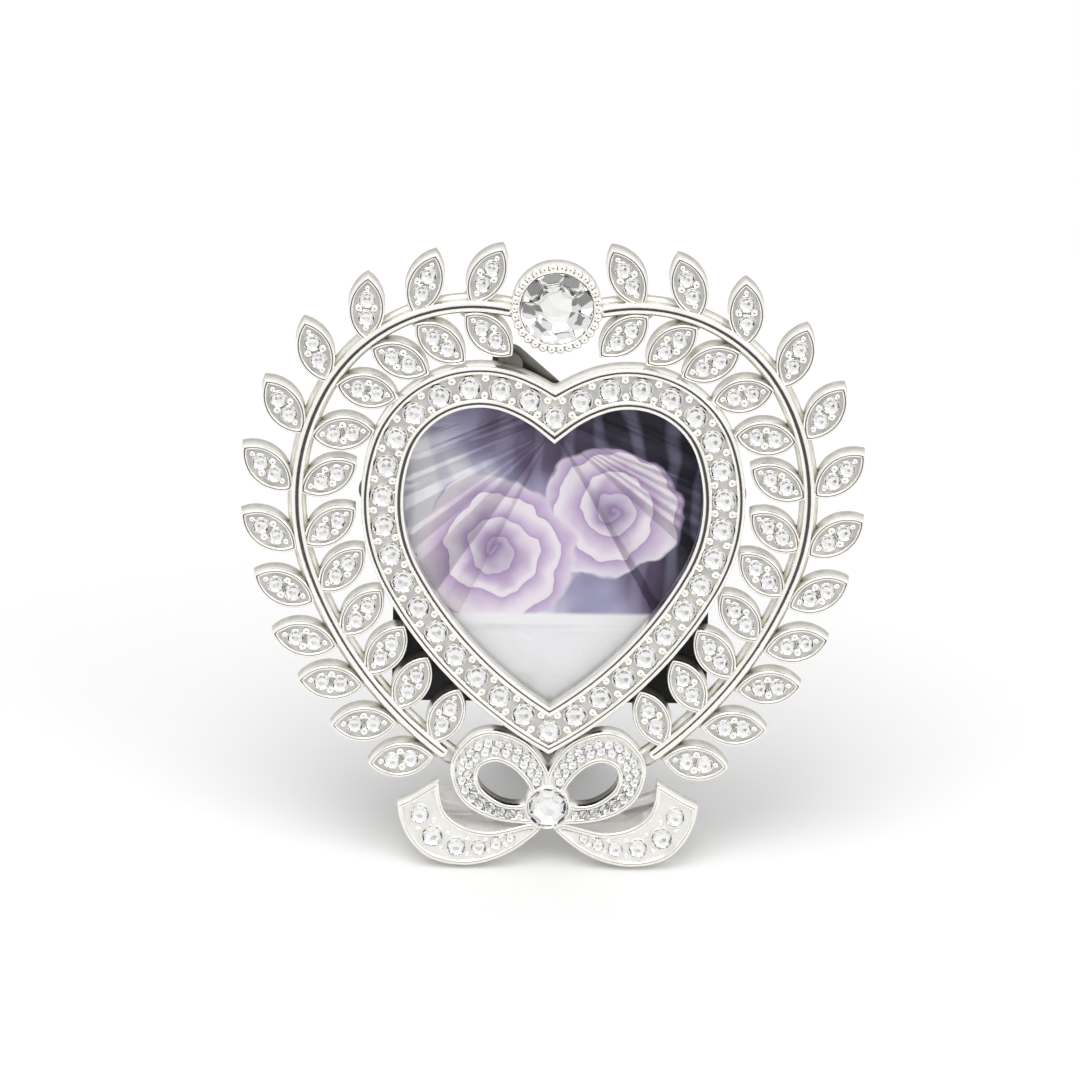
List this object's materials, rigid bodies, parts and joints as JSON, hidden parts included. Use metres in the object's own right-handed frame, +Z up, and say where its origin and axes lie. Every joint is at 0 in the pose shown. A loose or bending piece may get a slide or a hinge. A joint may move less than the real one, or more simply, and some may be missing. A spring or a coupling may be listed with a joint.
{
  "type": "picture frame",
  "caption": "Heart shaped easel-back photo frame in a leaf wreath, with stone set bezel, crown stone, bow, clear pane, swivel turn buttons and folding leg.",
  "frame": {"origin": "middle of the footprint on the surface it stands on, midway between the front of the bow and the back of the leg's foot", "axes": "+Z up, -Y out of the face towards the viewer, +X to the viewer's right; the face leans back 12 degrees about X"},
  "size_m": [0.1004, 0.0418, 0.1024],
  "materials": {
    "silver_plate": "polished silver plate over cast zinc",
    "crystal": "cut glass with a foiled back",
    "clear_acrylic": "clear polished sheet",
    "print_paper": "gloss printed insert",
    "velvet_board": "black velvet paper over board",
    "hinge_steel": "pressed and nickel plated",
    "button_steel": "pressed steel"
  },
  "bodies": {
    "frame": {"heart_frame": "silver_plate", "spray_left": "silver_plate", "spray_right": "silver_plate", "crown_bezel": "silver_plate", "bow": "silver_plate", "crown_gem": "crystal", "bow_gem": "crystal", "heart_stones": "crystal", "leaf_stones_left": "crystal", "leaf_stones_right": "crystal", "tail_stones": "crystal", "clear_pane": "clear_acrylic", "photo_insert": "print_paper", "back_board": "velvet_board", "hinge_plate": "hinge_steel", "hinge_pin": "hinge_steel", "hinge_rivets": "hinge_steel", "button_screws": "button_steel"},
    "leg": {"easel_leg": "velvet_board", "leg_bracket": "hinge_steel", "leg_rivets": "hinge_steel"},
    "turn_button_top": {"turn_button_top": "button_steel"},
    "turn_button_left": {"turn_button_left": "button_steel"},
    "turn_button_right": {"turn_button_right": "button_steel"}
  },
  "joints": [
    {"name": "leg_hinge", "type": "hinge", "parent": "frame", "child": "leg", "pos_m": [0, -0.00137, 0.05792], "axis": [1, 0, 0], "range_deg": [-30, 0]},
    {"name": "turn_button_top_swivel", "type": "hinge", "parent": "frame", "child": "turn_button_top", "pos_m": [-0.0073, 0.00249, 0.08088], "axis": [0, 0.9781, -0.2079], "continuous": true},
    {"name": "turn_button_left_swivel", "type": "hinge", "parent": "frame", "child": "turn_button_left", "pos_m": [-0.02851, -0.00203, 0.05959], "axis": [0, 0.9781, -0.2079], "continuous": true},
    {"name": "turn_button_right_swivel", "type": "hinge", "parent": "frame", "child": "turn_button_right", "pos_m": [0.02851, -0.00203, 0.05959], "axis": [0, 0.9781, -0.2079], "continuous": true}
  ]
}
